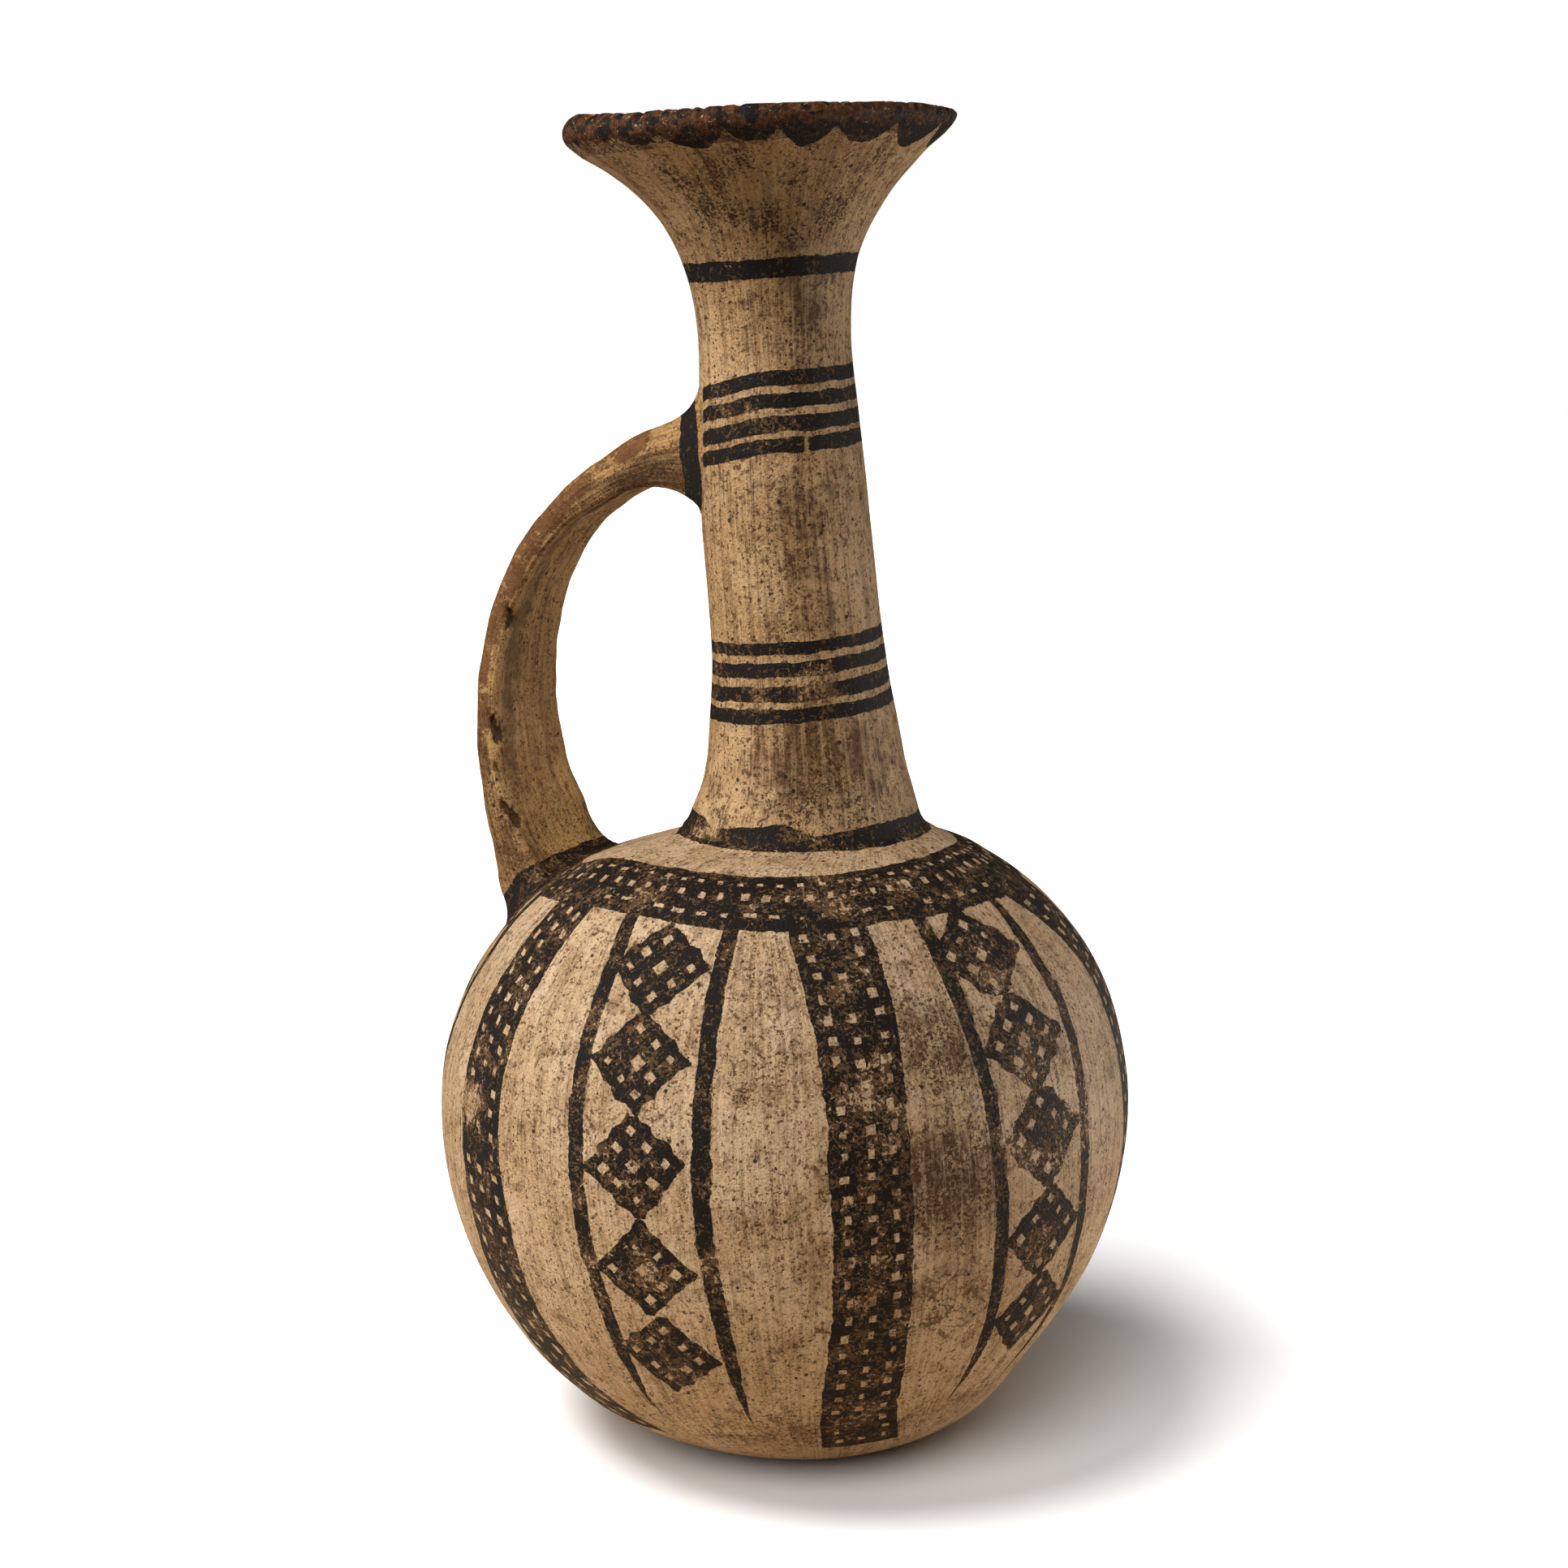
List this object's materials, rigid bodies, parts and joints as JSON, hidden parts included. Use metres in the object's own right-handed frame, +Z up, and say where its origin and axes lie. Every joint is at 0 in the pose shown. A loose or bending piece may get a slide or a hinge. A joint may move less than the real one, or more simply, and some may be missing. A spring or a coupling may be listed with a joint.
{
  "type": "pottery jug",
  "caption": "Round-bodied painted clay jug with a long narrow neck, a funnel mouth and a strap handle, for pouring.",
  "frame": {"origin": "centre of the small flat that the jug rests on, on the body's axis", "axes": "+Z up; the strap handle stands towards -X; +Y is away from the side that the picture shows most of"},
  "size_m": [0.13, 0.13, 0.2499],
  "materials": {
    "body_clay": "matte buff slip with dark painted bands",
    "rim_clay": "matte, worn brown paint",
    "handle_clay": "matte buff slip, worn"
  },
  "bodies": {
    "root": {"lower_body": "body_clay", "upper_body": "body_clay", "neck": "body_clay", "mouth_funnel": "body_clay", "rim_lip": "rim_clay", "neck_collar": "body_clay", "strap_handle": "handle_clay", "handle_root_collar": "handle_clay", "handle_foot_collar": "handle_clay"}
  },
  "joints": []
}
